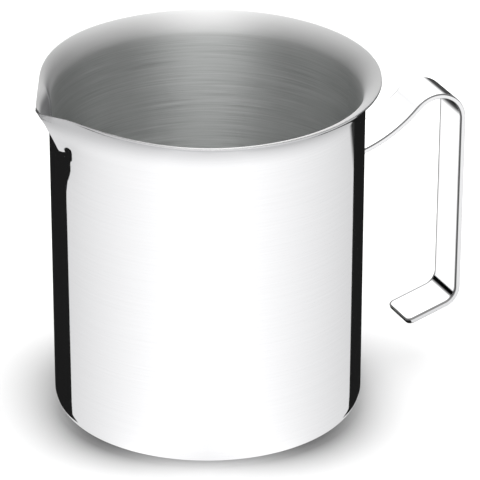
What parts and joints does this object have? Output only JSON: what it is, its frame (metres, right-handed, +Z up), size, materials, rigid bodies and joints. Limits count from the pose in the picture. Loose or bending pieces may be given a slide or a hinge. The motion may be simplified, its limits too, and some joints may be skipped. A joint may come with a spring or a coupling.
{
  "type": "candle melting pot",
  "caption": "Steel pouring pot for melting wax, with a trumpet lip, a pressed V spout and an open strap handle spot welded to the wall.",
  "frame": {"origin": "centre of the base, on the surface the pot stands on", "axes": "+Z up along the vessel's axis; +X from the axis towards the handle; the spout points along -X"},
  "size_m": [0.1754, 0.1322, 0.135],
  "materials": {
    "vessel_steel": "mirror polished outside and over the lip, fine brushed inside in rings round the axis",
    "strap_steel": "mirror polished, with the edges broken",
    "weld_steel": "fused metal, sealed between the strap and the wall"
  },
  "bodies": {
    "root": {"vessel": "vessel_steel", "handle_strap": "strap_steel", "spot_weld_1": "weld_steel", "spot_weld_2": "weld_steel", "spot_weld_3": "weld_steel", "spot_weld_4": "weld_steel"}
  },
  "joints": []
}
